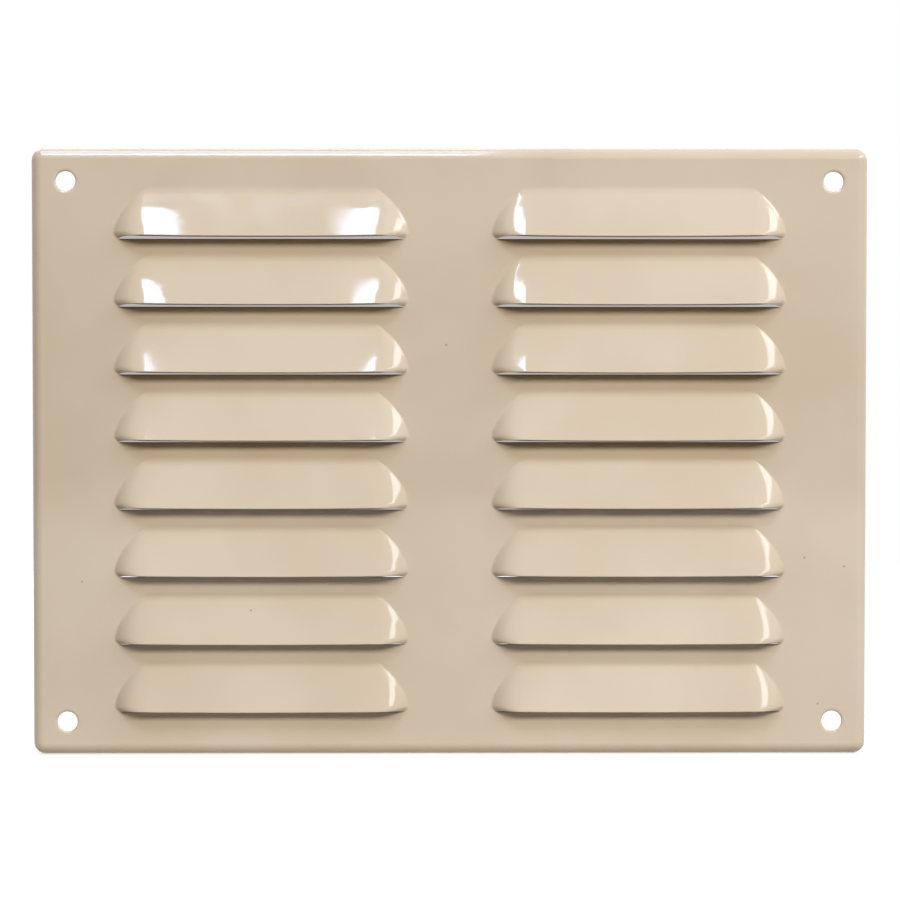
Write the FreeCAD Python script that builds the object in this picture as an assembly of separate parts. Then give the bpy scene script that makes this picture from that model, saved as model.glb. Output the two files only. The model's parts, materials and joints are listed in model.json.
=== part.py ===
import FreeCAD, Part

import math
import os

# Pressed ventilation grille: one folded and enamelled steel sheet, in millimetres.
# X runs along the width, Z is up and the front looks along -Y.
# The origin is the middle of the four fixing holes, on the flat front face.

V = FreeCAD.Vector

# Sheet and folded rim
sheet_width = 235.0
sheet_height = 170.5
sheet_thickness = 0.8
rim_depth = 6.0
bend_radius = 2.9
corner_ease = 0.5

# Fixing holes, one in each corner
hole_diameter = 5.6
hole_inset_x = 10.0
hole_inset_z = 9.5
hole_edge_bevel = 0.4

# Field of louvres: columns side by side, rows one above the other
column_count = 2
side_margin = 24.3
column_gap = 25.0
top_margin = 12.2
bottom_margin = 12.1
louvre_strip = 5.45

# One louvre: a flap pressed out of the sheet above a straight slit
louvre_rise = 13.5
louvre_projection = 5.0
ridge_radius = 7.8
face_corner_radius = 9.0
ridge_overrun = 1.0
root_radius = 2.0
slit_gap = 0.55

# Places that follow from the sizes above
corner_radius = bend_radius + corner_ease
louvre_length = (sheet_width - 2 * side_margin - (column_count - 1) * column_gap) / column_count
louvre_slope = math.atan2(louvre_projection, louvre_rise - slit_gap)
slit_depth = louvre_rise * math.tan(louvre_slope)
column_pitch = louvre_length + column_gap
row_pitch = louvre_rise + louvre_strip
row_span = sheet_height - top_margin - bottom_margin - louvre_rise
row_count = int(row_span / row_pitch + 1e-6) + 1
row_slack = row_span - (row_count - 1) * row_pitch
top_slit = sheet_height / 2 - top_margin - louvre_rise - row_slack / 2
left_column = -(column_count - 1) * column_pitch / 2

# Half width and upper edge of the piece of sheet that carries one louvre
cell_half = louvre_length / 2 + 1.5 * root_radius
cell_top = louvre_rise + louvre_strip / 2


def box(x, y, z):
    """A box between the given (low, high) pairs."""
    size = [high - low for low, high in (x, y, z)]
    return Part.makeBox(*size, V(x[0], y[0], z[0]))


def along_y(edges):
    """The straight edges that run front to back."""
    return [e for e in edges if e.BoundBox.XLength + e.BoundBox.ZLength < 1e-6]


def tray_form(inset):
    """The sheet with its folded rim as a full block, its skin moved inwards by inset."""
    half_x = sheet_width / 2 - inset
    half_z = sheet_height / 2 - inset
    form = box((-half_x, half_x), (inset, rim_depth + inset), (-half_z, half_z))
    form = form.makeFillet(corner_radius - inset, along_y(form.Edges))
    front = [e for e in form.Edges if e.BoundBox.YMax < inset + 1e-6]
    return form.makeFillet(bend_radius - inset, front)


def sloping_block(inset, half, low, top):
    """A long wedge under the sloping face, its skin moved inwards by inset."""
    drop = inset / math.cos(louvre_slope)
    lip = drop - (louvre_rise - low) * math.tan(louvre_slope)
    head = drop - (louvre_rise - top) * math.tan(louvre_slope)
    back = head + 2 * ridge_radius
    corners = [V(-half, lip, low), V(-half, head, top), V(-half, back, top), V(-half, back, low)]
    profile = Part.Face(Part.makePolygon(corners + corners[:1]))
    return profile.extrude(V(2 * half, 0, 0))


def louvre_form(inset, root):
    """One louvre on a thick block of sheet, its skin moved inwards by inset, its slit at z = 0."""
    foot = math.sqrt(ridge_radius**2 - max(ridge_radius - slit_depth, 0) ** 2)
    half = louvre_length / 2 - foot + ridge_radius - inset
    corner = face_corner_radius + ridge_radius - inset
    top = louvre_rise + ridge_overrun + ridge_radius - inset
    low = -corner
    wedge = sloping_block(inset, 2 * half, low, 2 * top)
    depth = (wedge.BoundBox.YMin - inset, wedge.BoundBox.YMax)

    # Straight end walls with round upper corners
    walls = box((-half, half), depth, (low, top))
    upper = [e for e in along_y(walls.Edges) if e.BoundBox.ZMin > top - 1e-6]
    walls = walls.makeFillet(corner, upper)

    # The sloping face rolls over into the end walls
    form = wedge.common(walls)
    face = min(form.Faces, key=lambda f: f.CenterOfMass.y)
    ridge = [e for e in face.Edges if e.BoundBox.ZMax > low + 1e-6]
    form = form.makeFillet(ridge_radius - inset, ridge)

    # The block of sheet behind it, with a hollow bend all round the foot of the louvre
    below = -sheet_thickness
    form = form.common(box((-cell_half, cell_half), depth, (below, cell_top)))
    block = box((-cell_half, cell_half), (inset, depth[1]), (below, cell_top))
    form = form.fuse(block).removeSplitter()
    if root:
        foot_line = [
            e
            for e in form.Edges
            if abs(e.BoundBox.YMin - inset) + abs(e.BoundBox.YMax - inset) < 1e-4
            and abs(e.CenterOfMass.x) < cell_half - 1e-6
            and below + 1e-6 < e.CenterOfMass.z < cell_top - 1e-6
        ]
        form = form.makeFillet(root, foot_line)
    return form


def slit_cutter(depth):
    """The slit's opening: a flat bottom, and a top that comes down to the two tips."""
    tip = louvre_length / 2
    end = tip - ridge_radius
    front, back = depth
    corners = [V(-tip, front, 0), V(-end, front, slit_gap), V(end, front, slit_gap), V(tip, front, 0)]
    outline = Part.Face(Part.makePolygon(corners + corners[:1]))
    return outline.extrude(V(0, back - front, 0))


def louvre_cell():
    """The pressed piece of sheet round one louvre, open along the slit."""
    sheet = louvre_form(0, root_radius).cut(louvre_form(sheet_thickness, 0))
    depth = (sheet.BoundBox.YMin, sheet_thickness)
    sheet = sheet.common(box((-cell_half, cell_half), depth, (0, cell_top)))
    return sheet.cut(slit_cutter(depth))


def louvre_places():
    """Where the middle of each slit lies."""
    for row in range(row_count):
        for column in range(column_count):
            yield V(left_column + column * column_pitch, 0, top_slit - row * row_pitch)


def with_louvres(tray):
    """The tray with a louvre pressed at each place."""
    cell = louvre_cell()
    window = box((-cell_half, cell_half), (0, sheet_thickness), (0, cell_top))
    cells = [cell.translated(place) for place in louvre_places()]
    windows = [window.translated(place) for place in louvre_places()]
    return tray.cut(Part.Compound(windows)).fuse(cells).removeSplitter()


def with_fixing_holes(sheet):
    """The sheet with a hole in each corner, its front edge eased."""
    radius = hole_diameter / 2
    x = sheet_width / 2 - hole_inset_x
    z = sheet_height / 2 - hole_inset_z
    drills = [
        Part.makeCylinder(radius, sheet_thickness, V(side * x, 0, level * z), V(0, 1, 0))
        for side in (-1, 1)
        for level in (-1, 1)
    ]
    sheet = sheet.cut(Part.Compound(drills))
    rims = [
        e
        for e in sheet.Edges
        if isinstance(e.Curve, Part.Circle)
        and abs(e.Curve.Radius - radius) < 1e-6
        and e.BoundBox.YMax < 1e-6
    ]
    return sheet.makeChamfer(min(hole_edge_bevel, 0.7 * sheet_thickness), rims)


def louvred_plate():
    """The whole grille: a shallow tray with two columns of louvres and four holes."""
    tray = tray_form(0).cut(tray_form(sheet_thickness))
    return with_fixing_holes(with_louvres(tray))


os.makedirs("parts", exist_ok=True)
plate = louvred_plate()
plate.exportStep("parts/louvred_plate.step")
box_size = plate.BoundBox
print("solids", len(plate.Solids), "valid", plate.isValid(), "volume", round(plate.Volume, 1))
print("size", round(box_size.XLength, 3), round(box_size.YLength, 3), round(box_size.ZLength, 3))
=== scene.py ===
"""The looks of a pressed and enamelled ventilation grille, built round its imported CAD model."""

import json
import math

import bpy
import numpy as np
from mathutils import Matrix, Vector
from mathutils.geometry import delaunay_2d_cdt


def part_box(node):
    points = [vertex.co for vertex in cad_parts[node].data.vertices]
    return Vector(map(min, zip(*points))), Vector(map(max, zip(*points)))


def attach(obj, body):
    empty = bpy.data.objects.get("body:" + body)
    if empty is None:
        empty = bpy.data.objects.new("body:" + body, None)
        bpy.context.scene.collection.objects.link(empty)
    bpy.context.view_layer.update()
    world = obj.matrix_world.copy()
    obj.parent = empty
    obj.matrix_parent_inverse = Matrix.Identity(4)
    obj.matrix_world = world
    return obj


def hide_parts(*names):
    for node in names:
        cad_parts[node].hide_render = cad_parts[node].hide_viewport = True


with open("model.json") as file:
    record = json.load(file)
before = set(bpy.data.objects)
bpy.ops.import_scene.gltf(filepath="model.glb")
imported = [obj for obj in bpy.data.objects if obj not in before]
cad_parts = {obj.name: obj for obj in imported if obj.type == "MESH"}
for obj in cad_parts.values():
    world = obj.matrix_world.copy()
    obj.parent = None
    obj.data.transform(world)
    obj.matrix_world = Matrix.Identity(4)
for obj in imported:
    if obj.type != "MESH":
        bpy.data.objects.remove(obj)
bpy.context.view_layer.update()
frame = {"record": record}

MM = 0.001
PLATE = "louvred_plate"

# Sizes in millimetres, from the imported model
low_corner, high_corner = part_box(PLATE)
half_width = high_corner.x / MM
half_height = high_corner.z / MM
rim_depth = high_corner.y / MM
fixing = next(m for m in frame["record"]["mounts"] if m["name"] == "fixing_holes")
hole_x = fixing["dims"]["spacing_x_mm"] / 2
hole_z = fixing["dims"]["spacing_y_mm"] / 2
hole_radius = fixing["dims"]["hole_r_mm"]

# Sheet and rim
sheet = 0.8
bend_radius = 3.4
corner_radius = 3.4

# Layout of the louvres
side_margin = 24.3
column_gap = 25.0
top_margin = 12.1
row_pitch = 18.95
row_count = 8

# One louvre, with z measured up from its slit
rise = 13.5
lip_projection = 4.98
slit_gap = 0.55
lip_sag = 0.2

# Its ends: the face bows down from the ridge to a foot that runs inwards with height
ridge_x = 31.8
foot_widest = 41.2
foot_curve = 0.045
tip_pinch = 1.5
tip_rise = 1.8
narrowest_end = 1.0
shallowest_end = 0.3
end_power = 3.0
tip_power = 1.6
tip_power_rise = 2.2

# Hollow bend all round its foot: half the depth over which it runs out, and what the ends add
hollow_depth = 0.4
end_hollow = 0.05

# The lip flares forward towards its two ends
end_flare = 0.65
flare_height = 9.0
flare_start = 12.0
flare_power = 1.5

# Ring of the louvre's mesh: its round upper corner and its top before the bend
face_corner = 9.0
ring_top = 14.5

# Step for measuring a slope, the least height that counts as raised, and a length of no matter
slope_step = 0.005
raised_height = 1e-6
tiny = 1e-9

# Places that follow from these sizes
louvre_length = (2 * half_width - 2 * side_margin - column_gap) / 2
column_x = (column_gap + louvre_length) / 2
top_slit = half_height - top_margin - rise
steepness = (lip_projection - end_flare) / (rise - slit_gap)
corner_x = ridge_x - face_corner
corner_z = ring_top - face_corner
tip_width = foot_widest - tip_pinch - ridge_x
foot_x = ridge_x + tip_width * (1 + end_hollow + hollow_depth / (steepness * rise)) ** (1 / tip_power)


def smooth(t):
    """A soft step from 0 to 1."""
    t = np.clip(t, 0, 1)
    return t * t * (3 - 2 * t)


def louvre_height(x, z):
    """How far a louvre stands in front of the sheet at x across and z above its slit."""
    face = steepness * (rise - z)
    pinch = tip_pinch * np.maximum(0, 1 - z / tip_rise) ** 2
    foot = foot_widest - foot_curve * z**2 - pinch
    width = np.maximum(foot - ridge_x, narrowest_end)
    end = np.maximum(np.abs(x) - ridge_x, 0) / width
    power = end_power - (end_power - tip_power) * np.maximum(0, 1 - z / tip_power_rise) ** 2
    fall = np.maximum(face, shallowest_end) * end**power
    flare = np.clip((np.abs(x) - flare_start) / (ridge_x - flare_start), 0, 1) ** 2
    lower = np.maximum(0, 1 - z / flare_height) ** flare_power
    flare = end_flare * flare * lower * np.maximum(0, 1 - end)
    body = face - fall + flare
    depth = hollow_depth + end_hollow * np.maximum(face, 0) * smooth(end)
    hollow = (body + depth) ** 2 / (4 * depth)
    return np.where(body > depth, body, np.where(body > -depth, hollow, 0.0))


def louvre_point(x, z):
    """The point of a louvre's front skin at x and z, and its outward normal."""
    height = louvre_height(x, z)
    rise_x = louvre_height(x + slope_step, z) - louvre_height(x - slope_step, z)
    rise_z = louvre_height(x, z + slope_step) - louvre_height(x, z - slope_step)
    slope_x, slope_z = rise_x / (2 * slope_step), rise_z / (2 * slope_step)
    level = height <= tiny
    slope_x, slope_z = np.where(level, 0, slope_x), np.where(level, 0, slope_z)
    point = np.stack([x, -height, z], -1)
    normal = np.stack([-slope_x, -np.ones_like(x), -slope_z], -1)
    return point, normal / np.linalg.norm(normal, axis=-1, keepdims=True)


# Rounding of the cut edges: how far it reaches along the sheet and through it, and its fade at the tips
lip_reach = 0.25
sill_reach = 0.1
edge_front = 0.25
edge_back = 0.2
edge_steps = 3
edge_fade = 3.0

# Darkening of the cut edges, from thin enamel and painted shade: next to their borders, and on the lip as a
# whole
edge_turn_darkening = 0.8
lip_darkening = 0.6

# Rows of the sill below the slit, which carry the painted shade under the lip
sill_rows = (2.7, 2.1, 1.4, 0.6)

# Painted shade under the lip on these rows, and on the sill's edge painted shade over its thin enamel, and
# how softly it ends at the tips
sill_painted_shade = (0.0, 0.22, 0.40, 0.36, 0.65)
sill_shade_fade = (7.0, 7.0, 7.0, 5.0, 1.5)

# Distance of the rows that hold the sheet flat outside a foot, a hole or the rim's bend
support = 0.45


def rounding(x, reach):
    """How far a rounded cut edge reaches along the sheet: nothing at the slit's two tips."""
    return reach * smooth((foot_x - np.abs(x)) / edge_fade)


def lip_line(x):
    """Height of the lip's cut edge above the slit's lower edge."""
    share = np.clip(louvre_height(x, np.full_like(x, slit_gap)) / lip_projection, 0, 1)
    sag = lip_sag * np.maximum(0, 1 - (x / ridge_x) ** 2)
    return np.where(np.abs(x) >= foot_x, 0, (slit_gap - sag) * share)


def lip_row(x):
    """Height of the front skin's lowest row, where the rounding of the lip starts."""
    return lip_line(x) + rounding(x, lip_reach)


# Steps of the louvre's mesh: up its side, round its corner, along its top half, across its bends
side_steps = 9
corner_steps = 13
top_steps = 9
bend_steps = 25

# Its bends: where they start inside the ridge, how far out their foot can lie, and how much closer
# their steps are where the skin turns
inner_band = 3.0
furthest = 14.0
turn_weight = 5.0
probe_count = 2801
fine_count = 600

# Points are joined when they lie in the same cube, of which this many make a millimetre
cubes_per_mm = 5000


class Skin:
    """Collects vertices, normals and faces in millimetres and joins those that share a place."""

    def __init__(self):
        self.points = []
        self.normals = []
        self.darkening = []
        self.faces = []
        self.count = 0

    def add(self, points, normals, faces, darkening=0.0):
        """Adds points with their normals and darkening, which is thin enamel and painted shade, and faces
        that count from the first.
        """
        self.faces.append(np.asarray(faces) + self.count)
        self.points.append(np.reshape(points, (-1, 3)))
        self.normals.append(np.reshape(normals, (-1, 3)))
        self.darkening.append(np.broadcast_to(darkening, points.shape[:-1]).reshape(-1))
        self.count += len(self.points[-1])

    def grid(self, points, normals, flip=False, darkening=0.0):
        """Adds a grid of points as quads, facing the viewer when columns run +X and rows run +Z."""
        rows, columns = points.shape[:2]
        index = np.arange(rows * columns).reshape(rows, columns)
        quads = np.stack([index[:-1, :-1], index[:-1, 1:], index[1:, 1:], index[1:, :-1]], -1)
        quads = quads.reshape(-1, 4)
        normals = np.broadcast_to(normals, points.shape)
        self.add(points, normals, quads[:, ::-1] if flip else quads, darkening)

    def triangles(self, points, normal, faces, flip=False):
        """Adds loose triangles."""
        faces = np.concatenate([faces, faces[:, :1]], 1)
        normals = np.broadcast_to(normal, points.shape)
        self.add(points, normals, faces[:, ::-1] if flip else faces)

    def joined(self):
        """All points once each with mean normal and darkening, and the faces with no repeated corner."""
        points = np.concatenate(self.points)
        keys = np.round(points * cubes_per_mm).astype(np.int64)
        first, place = np.unique(keys, axis=0, return_index=True, return_inverse=True)[1:]
        place = place.reshape(-1)
        normals = np.zeros((len(first), 3))
        np.add.at(normals, place, np.concatenate(self.normals))
        normals /= np.linalg.norm(normals, axis=1, keepdims=True)
        darkening = np.zeros(len(first))
        np.maximum.at(darkening, place, np.concatenate(self.darkening))
        faces = []
        for quad in place[np.concatenate(self.faces)]:
            ring = [int(v) for k, v in enumerate(quad) if v != quad[k - 1]]
            if len(set(ring)) == len(ring) and len(ring) > 2:
                faces.append(ring)
        return points[first], normals, darkening, faces


mirror = np.array([-1.0, 1.0, 1.0])


def through(points, inward, along, reach):
    """Points and normals of a rounded cut edge from the front skin to the back skin."""
    turn = np.linspace(0, math.pi / 2, edge_steps + 1)
    rows, normals = [], []
    for a in turn:
        rows.append((edge_front * (1 - math.cos(a)), math.sin(a)))
        normals.append(along * math.sin(a) - inward * math.cos(a))
    for a in turn:
        rows.append((sheet - edge_back * (1 - math.sin(a)), math.cos(a)))
        normals.append(along * math.cos(a) + inward * math.sin(a))
    rows = [points + inward * d + along * (reach * s)[:, None] for d, s in rows]
    return np.stack(rows), np.stack(normals)


def dark_cut_edge(count):
    """Darkening of each row of a rounded cut edge with a number of points: thin enamel and painted shade.
    """
    rows = np.ones(2 * edge_steps + 2)
    rows[[0, -1]] = 0.0
    rows[[1, -2]] = edge_turn_darkening
    return np.repeat(rows[:, None], count, 1)


def louvre_stations():
    """Stations round the right half of one louvre: up its side, round its corner, along its top."""
    angles = np.linspace(0, math.pi / 2, corner_steps + 1)
    shares = np.linspace(0, 1, side_steps + 1)
    flat = np.linspace(corner_x, 0, top_steps + 1)[1:]
    ring = []
    for share in shares[:-1]:
        ring.append(("side", share))
    for angle in angles:
        ring.append(("corner", angle))
    for x in flat:
        ring.append(("top", x))
    return ring


def place_on(kind, value, out):
    """Plan coordinates at a distance outside the ridge, for one station of the ring."""
    if kind == "side":
        x = ridge_x + out
        start = lip_row(x)
        return x, start + (corner_z - start) * value
    if kind == "corner":
        x = corner_x + (face_corner + out) * math.cos(value)
        return x, corner_z + (face_corner + out) * math.sin(value)
    return np.full_like(out, value), corner_z + face_corner + out


def louvre_ring():
    """Grid of plan coordinates over the bends, from the face's flat out onto the flat sheet."""
    rows_x, rows_z = [], []
    for kind, value in louvre_stations():
        probe = np.linspace(0, furthest, probe_count)
        raised = louvre_height(*place_on(kind, value, probe)) > raised_height
        foot = probe[raised][-1]
        if kind == "side" and value == 0:
            foot = foot_x - ridge_x
        fine = np.linspace(-inner_band, foot, fine_count)
        height = louvre_height(*place_on(kind, value, fine))
        length = np.hypot(np.diff(fine), np.diff(height))
        turn = np.abs(np.gradient(np.arctan(np.diff(height) / np.diff(fine))))
        steps = np.concatenate([[0], np.cumsum(length + turn_weight * turn)])
        out = np.interp(np.linspace(0, steps[-1], bend_steps + 1), steps, fine)
        out = np.concatenate([out, [foot + support, foot + 2 * support]])
        x, z = place_on(kind, value, out)
        rows_x.append(x)
        rows_z.append(z)
    return np.array(rows_x), np.array(rows_z)


def louvre_face(ring_x, ring_z):
    """Grid of plan coordinates over the flat of the face, in line with the ring."""
    rows = side_steps + corner_steps + 1
    rows_x, rows_z = [], []
    for i in range(rows):
        x = np.linspace(ring_x[i, 0], 0, top_steps + 1)
        z = np.full_like(x, ring_z[i, 0])
        if i < side_steps:
            start = lip_row(x)
            z = start + (corner_z - start) * (i / side_steps)
        rows_x.append(x)
        rows_z.append(z)
    return np.array(rows_x), np.array(rows_z)


def both_hands(skin, place, points, normals, flip, darkening=0.0):
    """Adds a grid for a louvre's right half and its mirror image for the left half."""
    skin.grid(points + place, normals, flip, darkening)
    skin.grid(points * mirror + place, normals * mirror, not flip, darkening)


def add_louvre(skin, place):
    """Adds one louvre's front skin, back skin and cut lip, with its slit's middle at place."""
    ring_x, ring_z = louvre_ring()
    face_x, face_z = louvre_face(ring_x, ring_z)
    for x, z, flip in ((ring_x, ring_z, False), (face_x, face_z, True)):
        point, normal = louvre_point(x, z)
        both_hands(skin, place, point, normal, flip)
        both_hands(skin, place, point - normal * sheet, -normal, not flip)

    # The lip's cut edge, from the middle out to the tip
    lip_x = np.concatenate([face_x[0][::-1], ring_x[0][1 : bend_steps + 1]])
    lip_z = np.concatenate([face_z[0][::-1], ring_z[0][1 : bend_steps + 1]])
    point, normal = louvre_point(lip_x, lip_z)
    slope = (louvre_height(lip_x, lip_z + slope_step) - louvre_height(lip_x, lip_z)) / slope_step
    down = np.stack([np.zeros_like(slope), slope, -np.ones_like(slope)], -1)
    down /= np.linalg.norm(down, axis=1, keepdims=True)
    cut, cut_normals = through(point, -normal, down, rounding(lip_x, lip_reach))
    # The lip's cut edge is darkened: thin enamel there, and painted shade
    both_hands(skin, place, cut, cut_normals, True, lip_darkening * dark_cut_edge(len(lip_x)))

    # The sill below the slit, with its own cut edge, and painted shade under the lip
    sill_x = np.concatenate([lip_x, [foot_x + support, foot_x + 2 * support]])
    sill_x = np.concatenate([-sill_x[:0:-1], sill_x])
    edge = -rounding(sill_x, sill_reach)
    rows = [np.full_like(sill_x, -depth) for depth in sill_rows] + [edge]
    zeros = np.zeros_like(sill_x)
    sill = np.stack([np.stack([sill_x, zeros, z], -1) for z in rows])
    # Painted shade under the lip, which tapers towards the slit's tips
    shown = smooth((foot_x - np.abs(sill_x)) / np.array(sill_shade_fade)[:, None])
    darkening = np.array(sill_painted_shade)[:, None] * shown
    forward = np.array([0.0, -1.0, 0.0])
    skin.grid(sill + place, forward, False, darkening)
    skin.grid(sill + place - forward * sheet, -forward, True)
    within = np.abs(sill_x) <= foot_x + tiny
    points = sill[-1][within]
    up = np.tile([0.0, 0.0, 1.0], (len(points), 1))
    inward = np.tile(-forward, (len(points), 1))
    cut, cut_normals = through(points, inward, up, rounding(points[:, 0], sill_reach))
    # The sill's cut edge is darkened: thin enamel there, and painted shade under the lip
    skin.grid(cut + place, cut_normals, False, dark_cut_edge(len(points)))

    # Outline of the hole that this louvre leaves in the flat sheet
    outer = np.stack([ring_x[:, -1], ring_z[:, -1]], -1)
    left = (outer * np.array([-1.0, 1.0]))[:-1]
    drop = np.stack([sill_x, rows[0]], -1)
    right_end = [[sill_x[-1], -depth] for depth in sill_rows[1:]]
    left_end = [[sill_x[0], -depth] for depth in sill_rows[:0:-1]]
    outline = np.concatenate([drop, right_end, outer, left[::-1], left_end])
    return outline + place[[0, 2]]


# Fixing holes: width and depth of the rolled front edge, and the eased back edge
hole_steps = 40
hole_roll = 0.85
hole_roll_depth = 0.5
hole_roll_steps = 6
hole_back = 0.15
hole_back_steps = 3


def add_hole(skin, x, z):
    """Adds one fixing hole, rolled in at the front and a little eased at the back."""
    profile = [(hole_radius + hole_roll + support, 0.0, 0.0, -1.0)]
    for a in np.linspace(0, math.pi / 2, hole_roll_steps + 1):
        reach, depth = hole_roll * (1 - math.sin(a)), hole_roll_depth * (1 - math.cos(a))
        lean = math.atan2(math.sin(a) / hole_roll, math.cos(a) / hole_roll_depth)
        profile.append((hole_radius + reach, depth, -math.sin(lean), -math.cos(lean)))
    for a in np.linspace(0, math.pi / 2, hole_back_steps + 1):
        reach, depth = hole_back * (1 - math.cos(a)), sheet - hole_back * (1 - math.sin(a))
        profile.append((hole_radius + reach, depth, -math.cos(a), math.sin(a)))
    profile.append((hole_radius + hole_roll + support, sheet, 0.0, 1.0))
    angle = np.linspace(0, 2 * math.pi, hole_steps + 1)
    circle = np.stack([np.cos(angle), np.zeros_like(angle), np.sin(angle)], -1)
    rows = np.stack([circle * r + np.array([x, d, z]) for r, d, nr, ny in profile])
    normals = np.stack([circle * nr + np.array([0, ny, 0]) for r, d, nr, ny in profile])
    skin.grid(rows, normals)
    return rows[0][:-1][:, [0, 2]]


# Rim: steps round a corner, along a side and over the bend, and the rounding of its rear edge
rim_corner_steps = 8
rim_side_steps = 12
rim_bend_steps = 9
rim_edge = 0.25
sharpest_corner = 0.04


def rim_path(inset):
    """Closed outline of the plate in plan at a distance inside its outer edge, and its normals."""
    radius = max(corner_radius - inset, sharpest_corner)
    half = np.array([half_width - inset - radius, half_height - inset - radius])
    corners = [np.array(c) * half for c in ((1, 1), (-1, 1), (-1, -1), (1, -1))]
    points, normals = [], []
    for k, corner in enumerate(corners):
        for a in np.linspace(k * math.pi / 2, (k + 1) * math.pi / 2, rim_corner_steps + 1):
            normals.append([math.cos(a), math.sin(a)])
            points.append(corner + radius * np.array(normals[-1]))
        onward = corners[(k + 1) % 4] - corner
        last, straight = points[-1], normals[-1]
        for share in np.linspace(0, 1, rim_side_steps + 1)[1:-1]:
            points.append(last + onward * share)
            normals.append(straight)
    return np.array(points), np.array(normals)


def add_rim(skin):
    """Adds the folded rim: front bend, side, rear edge, inner side and inner bend."""
    quarter = np.linspace(0, math.pi / 2, rim_bend_steps + 1)
    short = np.linspace(0, math.pi / 2, edge_steps + 1)
    profile = [(bend_radius + support, 0.0, 0.0, -1.0)]
    for a in quarter:
        inset, depth = bend_radius * (1 - math.sin(a)), bend_radius * (1 - math.cos(a))
        profile.append((inset, depth, math.sin(a), -math.cos(a)))
    for a in short:
        inset, depth = rim_edge * (1 - math.cos(a)), rim_depth - rim_edge * (1 - math.sin(a))
        profile.append((inset, depth, math.cos(a), math.sin(a)))
    for a in short:
        inset, depth = sheet - rim_edge * (1 - math.sin(a)), rim_depth - rim_edge * (1 - math.cos(a))
        profile.append((inset, depth, -math.sin(a), math.cos(a)))
    inner = bend_radius - sheet
    for a in quarter[::-1]:
        inset, depth = sheet + inner * (1 - math.sin(a)), sheet + inner * (1 - math.cos(a))
        profile.append((inset, depth, -math.sin(a), math.cos(a)))
    profile.append((bend_radius + support, sheet, 0.0, 1.0))
    rows, normals = [], []
    for inset, depth, outward, back in profile:
        path, lean = rim_path(inset)
        path = np.concatenate([path, path[:1]])
        lean = np.concatenate([lean, lean[:1]]) * outward
        rows.append(np.stack([path[:, 0], np.full(len(path), depth), path[:, 1]], -1))
        normals.append(np.stack([lean[:, 0], np.full(len(path), back), lean[:, 1]], -1))
    skin.grid(np.stack(rows), np.stack(normals), True)
    return rim_path(bend_radius + support)[0]


def inside(points, outline):
    """Which points lie inside a closed outline."""
    x, z = points[:, 0], points[:, 1]
    result = np.zeros(len(points), bool)
    for (ax, az), (bx, bz) in zip(outline, np.roll(outline, -1, 0)):
        if az == bz:
            continue
        crosses = (az > z) != (bz > z)
        result ^= crosses & (x < (bx - ax) * (z - az) / (bz - az) + ax)
    return result


# Inner points of the flat: their pitch, and how they keep away from its border and holes
flat_step = 9.0
border_share = 0.985
hole_share = 1.03
joining_distance = 1e-7


def add_flat(skin, border, holes):
    """Fills the flat of the sheet between its border and the holes, front and back."""
    x = np.arange(-half_width + flat_step, half_width - flat_step / 2, flat_step)
    z = np.arange(-half_height + flat_step, half_height - flat_step / 2, flat_step)
    mesh = np.stack(np.meshgrid(x, z), -1).reshape(-1, 2)
    keep = inside(mesh, border * border_share)
    for hole in holes:
        middle = hole.mean(0)
        keep &= ~inside(mesh, middle + (hole - middle) * hole_share)
    points, edges = [], []
    for outline in [border] + holes:
        start = len(points)
        points += outline.tolist()
        count = len(outline)
        edges += [(start + i, start + (i + 1) % count) for i in range(count)]
    points += mesh[keep].tolist()
    result = delaunay_2d_cdt([Vector(p) for p in points], edges, [], 1, joining_distance)
    flat = np.array([points[origin[0]] for origin in result[3]])
    faces = np.array(result[2])
    centre = flat[faces].mean(1)
    wanted = inside(centre, border)
    for hole in holes:
        wanted &= ~inside(centre, hole)
    faces = faces[wanted]
    a, b, c = (flat[faces[:, k]] for k in range(3))
    area = (b[:, 0] - a[:, 0]) * (c[:, 1] - a[:, 1]) - (b[:, 1] - a[:, 1]) * (c[:, 0] - a[:, 0])
    faces[area < 0] = faces[area < 0][:, ::-1]
    for depth, side, flip in ((0.0, -1.0, False), (sheet, 1.0, True)):
        level = np.stack([flat[:, 0], np.full(len(flat), depth), flat[:, 1]], -1)
        skin.triangles(level, np.array([0, side, 0]), faces, flip)


def build_plate():
    """The whole sheet as one closed mesh."""
    skin = Skin()
    holes = []
    for row in range(row_count):
        for side in (-1, 1):
            place = np.array([side * column_x, 0.0, top_slit - row * row_pitch])
            holes.append(add_louvre(skin, place))
    for x in (-hole_x, hole_x):
        for z in (-hole_z, hole_z):
            holes.append(add_hole(skin, x, z))
    border = add_rim(skin)
    add_flat(skin, border, holes)
    points, normals, darkening, faces = skin.joined()
    mesh = bpy.data.meshes.new("grille_sheet")
    mesh.from_pydata((points * MM).tolist(), [], faces)
    mesh.update()
    mesh.shade_smooth()
    mesh.normals_split_custom_set_from_vertices(normals.tolist())
    mesh.attributes.new("thin_enamel_and_painted_shade", "FLOAT", "POINT").data.foreach_set("value", darkening)
    plate = bpy.data.objects.new("grille_sheet", mesh)
    bpy.context.scene.collection.objects.link(plate)
    return plate


# Enamel: light beige, faintly uneven, with dark ground enamel where it is thin on the cut edges, and
# painted shade in the same brown there and under the lips
beige = (0.630, 0.528, 0.398, 1)
beige_deeper = (0.596, 0.492, 0.362, 1)
ground_and_shade_brown = (0.035, 0.028, 0.018, 1)
speck_brown = (0.16, 0.10, 0.06, 1)

# Noise by its scale, detail and range: clouds of colour and patches of roughness
cloud_scale = 22.0
cloud_detail = 3.0
cloud_range = (0.35, 0.65)
patch_scale = 132.0
patch_detail = 2.0
patch_range = (0.3, 0.7)
roughness_range = (0.05, 0.11)

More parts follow.
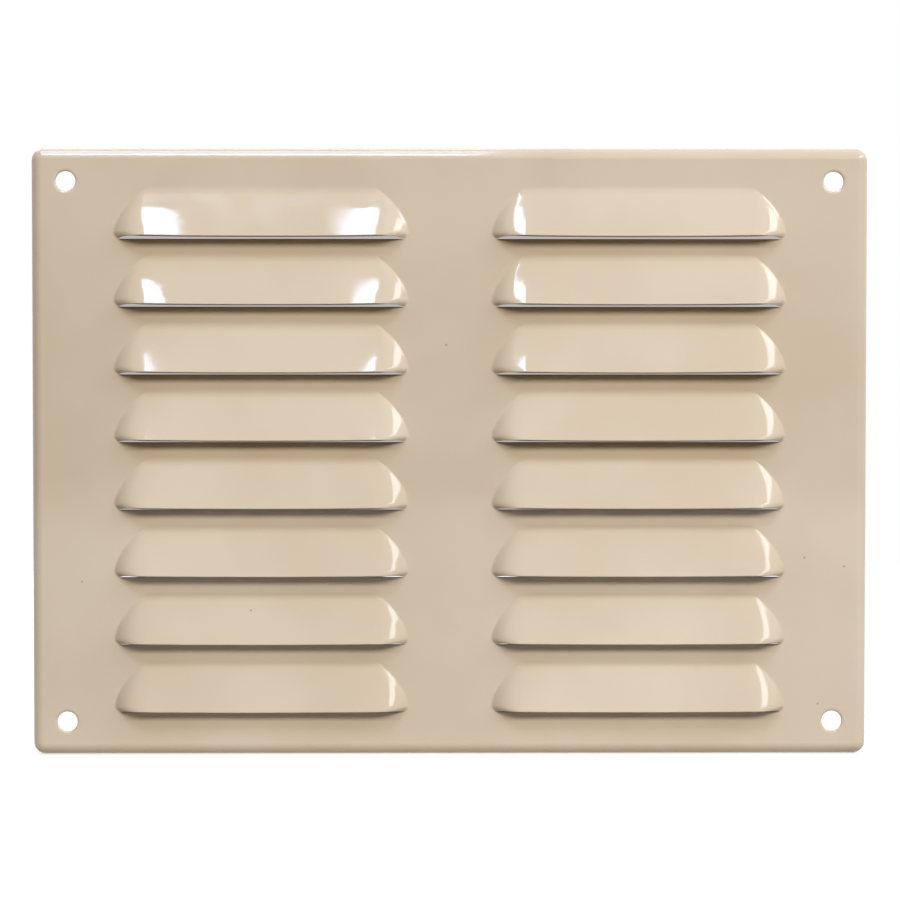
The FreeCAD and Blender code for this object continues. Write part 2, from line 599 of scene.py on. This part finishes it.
# Bumps of the glossy skin, with their height in metres
wave_scale = 75.0
wave_detail = 1.0
wave_height = 0.000015
peel_scale = 420.0
peel_detail = 2.0
peel_height = 0.000010

# Small dark specks: x, z and radius in millimetres
specks = (
    (-1.1, 30.0, 0.45),
    (-55.8, -44.3, 0.40),
    (-103.2, -36.4, 0.40),
    (99.6, -29.7, 0.40),
    (110.8, -32.2, 0.45),
    (103.5, -70.9, 0.40),
)

# Share of a speck's radius that is evenly dark, and how dark it is
speck_core = 0.4
speck_strength = 0.5


def noise(nodes, links, where, scale, detail):
    """Noise over the object's own coordinates."""
    texture = nodes.new("ShaderNodeTexNoise")
    texture.inputs["Scale"].default_value = scale
    texture.inputs["Detail"].default_value = detail
    links.new(where, texture.inputs["Vector"])
    return texture.outputs["Fac"]


def mapped(nodes, links, value, source, result):
    """A value taken softly from one range to another."""
    node = nodes.new("ShaderNodeMapRange")
    node.interpolation_type = "SMOOTHSTEP"
    node.inputs["From Min"].default_value = source[0]
    node.inputs["From Max"].default_value = source[1]
    node.inputs["To Min"].default_value = result[0]
    node.inputs["To Max"].default_value = result[1]
    links.new(value, node.inputs["Value"])
    return node.outputs["Result"]


def mixed(nodes, links, share, first, second):
    """A colour between two, where each is a colour or another node's output."""
    node = nodes.new("ShaderNodeMix")
    node.data_type = "RGBA"
    links.new(share, node.inputs["Factor"])
    for name, colour in (("A", first), ("B", second)):
        if isinstance(colour, tuple):
            node.inputs[name].default_value = colour
        else:
            links.new(colour, node.inputs[name])
    return node.outputs["Result"]


def bumped(nodes, links, height, distance, normal=None):
    """A bump of a height in metres, over another where one is given."""
    node = nodes.new("ShaderNodeBump")
    node.inputs["Strength"].default_value = 1.0
    node.inputs["Distance"].default_value = distance
    links.new(height, node.inputs["Height"])
    if normal:
        links.new(normal, node.inputs["Normal"])
    return node.outputs["Normal"]


def enamel():
    """Glossy light beige enamel with orange peel, faint clouds, specks, thin cut edges and painted shade on
    the cut edges and under the lips.
    """
    material = bpy.data.materials.new("beige_enamel")
    material.use_nodes = True
    nodes, links = material.node_tree.nodes, material.node_tree.links
    shader = nodes["Principled BSDF"]
    where = nodes.new("ShaderNodeTexCoord").outputs["Object"]

    clouds = noise(nodes, links, where, cloud_scale, cloud_detail)
    clouds = mapped(nodes, links, clouds, cloud_range, (0, 1))
    colour = mixed(nodes, links, clouds, beige, beige_deeper)

    # The specks are set by x and z alone, so they also lie on the raised faces
    in_front = nodes.new("ShaderNodeVectorMath")
    in_front.operation = "MULTIPLY"
    in_front.inputs[1].default_value = (1, 0, 1)
    links.new(where, in_front.inputs[0])
    for x, z, radius in specks:
        apart = nodes.new("ShaderNodeVectorMath")
        apart.operation = "DISTANCE"
        apart.inputs[1].default_value = (x * MM, 0, z * MM)
        links.new(in_front.outputs[0], apart.inputs[0])
        reach = (speck_core * radius * MM, radius * MM)
        spot = mapped(nodes, links, apart.outputs["Value"], reach, (speck_strength, 0))
        colour = mixed(nodes, links, spot, colour, speck_brown)
    # Thin enamel on the cut edges and painted shade under the lips turn the colour towards dark brown
    darkening = nodes.new("ShaderNodeAttribute")
    darkening.attribute_name = "thin_enamel_and_painted_shade"
    colour = mixed(nodes, links, darkening.outputs["Fac"], colour, ground_and_shade_brown)
    links.new(colour, shader.inputs["Base Color"])

    patches = noise(nodes, links, where, patch_scale, patch_detail)
    roughness = mapped(nodes, links, patches, patch_range, roughness_range)
    links.new(roughness, shader.inputs["Roughness"])
    wave = bumped(nodes, links, noise(nodes, links, where, wave_scale, wave_detail), wave_height)
    peel = bumped(nodes, links, noise(nodes, links, where, peel_scale, peel_detail), peel_height, wave)
    links.new(peel, shader.inputs["Normal"])
    return material


# Camera, from the picture's own geometry
camera_distance = 505.0
camera_x = -3.45
camera_z = 10.47
camera_pitch = math.radians(-1.124)
camera_yaw = math.radians(-0.39)
focal_pixels = 1801.0
frame_pixels = 900
sensor_width = 36.0


def add_camera():
    """A camera straight in front of the plate, a little above its middle."""
    data = bpy.data.cameras.new("camera")
    data.sensor_width = sensor_width
    data.lens = focal_pixels / frame_pixels * sensor_width
    camera = bpy.data.objects.new("camera", data)
    bpy.context.scene.collection.objects.link(camera)
    turn = Matrix.Rotation(camera_yaw, 4, "Z") @ Matrix.Rotation(math.pi / 2 + camera_pitch, 4, "X")
    place = Vector((camera_x, -camera_distance, camera_z)) * MM
    camera.matrix_world = Matrix.Translation(place) @ turn
    bpy.context.scene.camera = camera


def add_area_light(name, place, target, size, radiance, colour, shape="RECTANGLE"):
    """A flat lamp in millimetres that faces a target."""
    data = bpy.data.lights.new(name, "AREA")
    data.shape = shape
    data.size = size[0] * MM
    data.size_y = size[1] * MM
    data.energy = radiance * math.pi * data.size * data.size_y
    if shape == "ELLIPSE":
        data.energy *= math.pi / 4
    data.color = colour
    lamp = bpy.data.objects.new(name, data)
    bpy.context.scene.collection.objects.link(lamp)
    place, target = Vector(place) * MM, Vector(target) * MM
    turn = (target - place).to_track_quat("-Z", "Y").to_matrix().to_4x4()
    lamp.matrix_world = Matrix.Translation(place) @ turn
    return lamp


def seen_directly(nodes, links):
    """1 for rays from the camera, from a mirror and through glass, and 0 for light on surfaces."""
    path = nodes.new("ShaderNodeLightPath")
    value = path.outputs["Is Camera Ray"]
    for name in ("Is Glossy Ray", "Is Transmission Ray"):
        either = nodes.new("ShaderNodeMath")
        either.operation = "MAXIMUM"
        links.new(value, either.inputs[0])
        links.new(path.outputs[name], either.inputs[1])
        value = either.outputs[0]
    return value


# Light that falls on the plate by its direction: height from straight down to straight up
sky = (
    (-1.00, (0.20, 0.16, 0.11)),
    (-0.70, (0.20, 0.16, 0.11)),
    (-0.40, (0.08, 0.07, 0.06)),
    (0.10, (0.10, 0.09, 0.08)),
    (0.36, (0.72, 0.66, 0.58)),
    (1.00, (0.20, 0.19, 0.18)),
)
sky_peak = 1.0

# The same light's share from left to right, and its gain from front to back
sides = (
    (-1.0, (0.80, 0.65, 0.38)),
    (-0.3, (0.98, 0.91, 0.79)),
    (0.3, (1.00, 1.00, 1.00)),
    (1.0, (0.85, 0.85, 0.85)),
)
sides_peak = 1.0
depths = (
    (-1.0, (1.0, 1.0, 1.0)),
    (0.0, (1.0, 1.0, 1.0)),
    (0.5, (1.8, 1.8, 1.9)),
    (1.0, (2.0, 2.0, 2.1)),
)
depths_peak = 2.1


def colour_by(nodes, links, value, stops, peak):
    """A soft run of colours over a direction's part from -1 to 1, divided by their peak."""
    share = nodes.new("ShaderNodeMapRange")
    share.inputs["From Min"].default_value = -1.0
    links.new(value, share.inputs["Value"])
    ramp = nodes.new("ShaderNodeValToRGB")
    ramp.color_ramp.interpolation = "EASE"
    elements = ramp.color_ramp.elements
    elements[1].position = (stops[-1][0] + 1) / 2
    for level, colour in stops[1:-1]:
        elements.new((level + 1) / 2)
    for element, (level, colour) in zip(elements, stops):
        element.color = [c / peak for c in colour] + [1]
    links.new(share.outputs["Result"], ramp.inputs["Fac"])
    return ramp.outputs["Color"]


def set_world():
    """Soft light mostly from above and from the front, and plain white where it is seen directly."""
    world = bpy.data.worlds.new("studio")
    bpy.context.scene.world = world
    world.use_nodes = True
    nodes, links = world.node_tree.nodes, world.node_tree.links
    direction = nodes.new("ShaderNodeTexCoord")
    split = nodes.new("ShaderNodeSeparateXYZ")
    links.new(direction.outputs["Generated"], split.inputs[0])
    colour = colour_by(nodes, links, split.outputs["Z"], sky, sky_peak)
    for axis, stops, peak in (("X", sides, sides_peak), ("Y", depths, depths_peak)):
        product = nodes.new("ShaderNodeVectorMath")
        product.operation = "MULTIPLY"
        links.new(colour, product.inputs[0])
        links.new(colour_by(nodes, links, split.outputs[axis], stops, peak), product.inputs[1])
        colour = product.outputs[0]
    light = nodes["Background"]
    light.inputs["Strength"].default_value = sky_peak * sides_peak * depths_peak
    links.new(colour, light.inputs["Color"])
    white = nodes.new("ShaderNodeBackground")
    white.inputs["Color"].default_value = (1, 1, 1, 1)

    # White for the camera everywhere, and for mirror rays only behind the plate
    behind = nodes.new("ShaderNodeMath")
    behind.operation = "GREATER_THAN"
    behind.inputs[1].default_value = 0.0
    links.new(split.outputs["Y"], behind.inputs[0])
    seen = nodes.new("ShaderNodeMath")
    seen.operation = "MULTIPLY"
    links.new(behind.outputs[0], seen.inputs[0])
    links.new(seen_directly(nodes, links), seen.inputs[1])
    either = nodes.new("ShaderNodeMath")
    either.operation = "MAXIMUM"
    links.new(seen.outputs[0], either.inputs[0])
    links.new(nodes.new("ShaderNodeLightPath").outputs["Is Camera Ray"], either.inputs[1])
    mix = nodes.new("ShaderNodeMixShader")
    links.new(either.outputs[0], mix.inputs["Fac"])
    links.new(light.outputs[0], mix.inputs[1])
    links.new(white.outputs[0], mix.inputs[2])
    links.new(mix.outputs[0], nodes["World Output"].inputs["Surface"])


# Backdrop: white, with a painted pale shade where the plate would shade it behind its louvres
backdrop_distance = 600.0
backdrop_width = 1500.0
backdrop_height = 1100.0
shade_half_width = 205.0
shade_middle = -45.0
shade_half_height = 165.0
shade_edge = 40.0
shade_colour = (0.50, 0.465, 0.46, 1)


def shade_across(nodes, links, value, middle, half):
    """1 within half of a middle, falling softly to 0 over the shade's edge."""
    away = nodes.new("ShaderNodeMath")
    away.operation = "SUBTRACT"
    away.inputs[1].default_value = middle * MM
    links.new(value, away.inputs[0])
    size = nodes.new("ShaderNodeMath")
    size.operation = "ABSOLUTE"
    links.new(away.outputs[0], size.inputs[0])
    fall = nodes.new("ShaderNodeMapRange")
    fall.interpolation_type = "SMOOTHSTEP"
    fall.inputs["From Min"].default_value = half * MM
    fall.inputs["From Max"].default_value = (half + shade_edge) * MM
    fall.inputs["To Min"].default_value = 1.0
    fall.inputs["To Max"].default_value = 0.0
    links.new(size.outputs[0], fall.inputs["Value"])
    return fall.outputs["Result"]


def add_backdrop():
    """A white sheet far behind the plate, with a painted shade behind the louvres, that leaves the light on
    it alone.
    """
    x, z = backdrop_width / 2 * MM, backdrop_height / 2 * MM
    y = backdrop_distance * MM
    mesh = bpy.data.meshes.new("backdrop")
    corners = [(-x, y, -z), (x, y, -z), (x, y, z), (-x, y, z)]
    mesh.from_pydata(corners, [], [(0, 1, 2, 3)])
    backdrop = bpy.data.objects.new("backdrop", mesh)
    bpy.context.scene.collection.objects.link(backdrop)
    material = bpy.data.materials.new("backdrop_white")
    material.use_nodes = True
    nodes, links = material.node_tree.nodes, material.node_tree.links
    nodes.remove(nodes["Principled BSDF"])
    place = nodes.new("ShaderNodeTexCoord")
    split = nodes.new("ShaderNodeSeparateXYZ")
    links.new(place.outputs["Object"], split.inputs[0])
    # Painted shade on the backdrop behind the louvre field
    shade = nodes.new("ShaderNodeMath")
    shade.operation = "MULTIPLY"
    across = shade_across(nodes, links, split.outputs["X"], 0.0, shade_half_width)
    upwards = shade_across(nodes, links, split.outputs["Z"], shade_middle, shade_half_height)
    links.new(across, shade.inputs[0])
    links.new(upwards, shade.inputs[1])
    colour = nodes.new("ShaderNodeMix")
    colour.data_type = "RGBA"
    colour.inputs["A"].default_value = (1, 1, 1, 1)
    colour.inputs["B"].default_value = shade_colour
    links.new(shade.outputs[0], colour.inputs["Factor"])
    glow = nodes.new("ShaderNodeEmission")
    links.new(colour.outputs["Result"], glow.inputs["Color"])
    clear = nodes.new("ShaderNodeBsdfTransparent")
    mix = nodes.new("ShaderNodeMixShader")
    links.new(seen_directly(nodes, links), mix.inputs["Fac"])
    links.new(clear.outputs[0], mix.inputs[1])
    links.new(glow.outputs[0], mix.inputs[2])
    links.new(mix.outputs[0], nodes["Material Output"].inputs["Surface"])
    mesh.materials.append(material)


# Floor: it lies just below the plate, and its own glow keeps the shadow faint
floor_size = 3000.0
floor_gap = 0.2
floor_colour = (0.50, 0.50, 0.50, 1)
floor_roughness = 0.9
floor_glow = 0.62


def add_floor():
    """A pale floor under the plate's lower edge that keeps a faint shadow."""
    half, z = floor_size / 2 * MM, low_corner.z - floor_gap * MM
    mesh = bpy.data.meshes.new("floor")
    corners = [(-half, -half, z), (half, -half, z), (half, half, z), (-half, half, z)]
    mesh.from_pydata(corners, [], [(0, 1, 2, 3)])
    floor = bpy.data.objects.new("floor", mesh)
    bpy.context.scene.collection.objects.link(floor)
    material = bpy.data.materials.new("floor_white")
    material.use_nodes = True
    nodes, links = material.node_tree.nodes, material.node_tree.links
    shader = nodes["Principled BSDF"]
    shader.inputs["Base Color"].default_value = floor_colour
    shader.inputs["Roughness"].default_value = floor_roughness
    shader.inputs["Specular IOR Level"].default_value = 0.0
    shader.inputs["Emission Color"].default_value = (1, 1, 1, 1)
    shader.inputs["Emission Strength"].default_value = floor_glow
    clear = nodes.new("ShaderNodeBsdfTransparent")
    mix = nodes.new("ShaderNodeMixShader")
    links.new(seen_directly(nodes, links), mix.inputs["Fac"])
    links.new(clear.outputs[0], mix.inputs[1])
    links.new(shader.outputs[0], mix.inputs[2])
    links.new(mix.outputs[0], nodes["Material Output"].inputs["Surface"])
    mesh.materials.append(material)


# Lamps: direction as azimuth and elevation in degrees, sizes and places in millimetres
lamp_distance = 1500.0
plate_middle = (0.0, 0.0, 0.0)

# Softbox high in front, at the left
key_x = -300.0
key_y = -1490.0
key_z = 2037.0
key_size = (720.0, 670.0)
key_radiance = 12.8
key_colour = (0.74, 0.94, 1.32)

# Two softboxes at the right, which draw the streaks on the louvres' ends
side_direction = (69.0, 35.0)
side_size = (980.0, 350.0)
low_side_direction = (43.0, 27.5)
low_side_size = (640.0, 220.0)
side_radiance = 6.2
side_colour = (0.92, 1.00, 1.10)

# Softbox low in front, which lights the enamel without a reflection of its own
front_direction = (17.0, 24.0)
front_size = (690.0, 300.0)
front_radiance = 19.4
front_colour = (1.03, 0.985, 0.94)

# Light from the table just under the plate
table_place = (0.0, -8.0, -101.0)
table_target = (0.0, 0.0, -85.0)
table_size = (236.0, 16.0)
table_radiance = 0.55
table_colour = (1.00, 0.88, 0.76)

# Ceiling over the key's side, which shows in reflections alone
ceiling_y = -350.0
ceiling_z = 1600.0
ceiling_size = (720.0, 1100.0)
ceiling_radiance = 4.5

# Soft light on the back
back_direction = (200.0, 30.0)
back_size = (1000.0, 900.0)
back_radiance = 3.6


def towards(azimuth, elevation):
    """A lamp's place: azimuth to the right of straight ahead, seen from the plate."""
    a, e = math.radians(azimuth), math.radians(elevation)
    x = lamp_distance * math.sin(a) * math.cos(e)
    y = -lamp_distance * math.cos(a) * math.cos(e)
    return (x, y, lamp_distance * math.sin(e))


def add_lamps():
    """All lamps of the studio."""
    key, key_target = (key_x, key_y, key_z), (key_x, 0, 0)
    add_area_light("key", key, key_target, key_size, key_radiance, key_colour)
    for name, direction, size in (
        ("side", side_direction, side_size),
        ("low_side", low_side_direction, low_side_size),
    ):
        add_area_light(name, towards(*direction), plate_middle, size, side_radiance, side_colour, "ELLIPSE")
    place = towards(*front_direction)
    front = add_area_light("front", place, plate_middle, front_size, front_radiance, front_colour)
    front.visible_glossy = False
    add_area_light("table", table_place, table_target, table_size, table_radiance, table_colour)
    place, target = (key_x, ceiling_y, ceiling_z), (key_x, ceiling_y, 0)
    ceiling = add_area_light("ceiling", place, target, ceiling_size, ceiling_radiance, key_colour)
    ceiling.visible_diffuse = False
    place = towards(*back_direction)
    add_area_light("back", place, plate_middle, back_size, back_radiance, side_colour)


plate = build_plate()
plate.data.materials.append(enamel())
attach(plate, "root")
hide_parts(PLATE)
add_camera()
set_world()
add_backdrop()
add_floor()
add_lamps()

bpy.context.scene.view_settings.view_transform = "Standard"
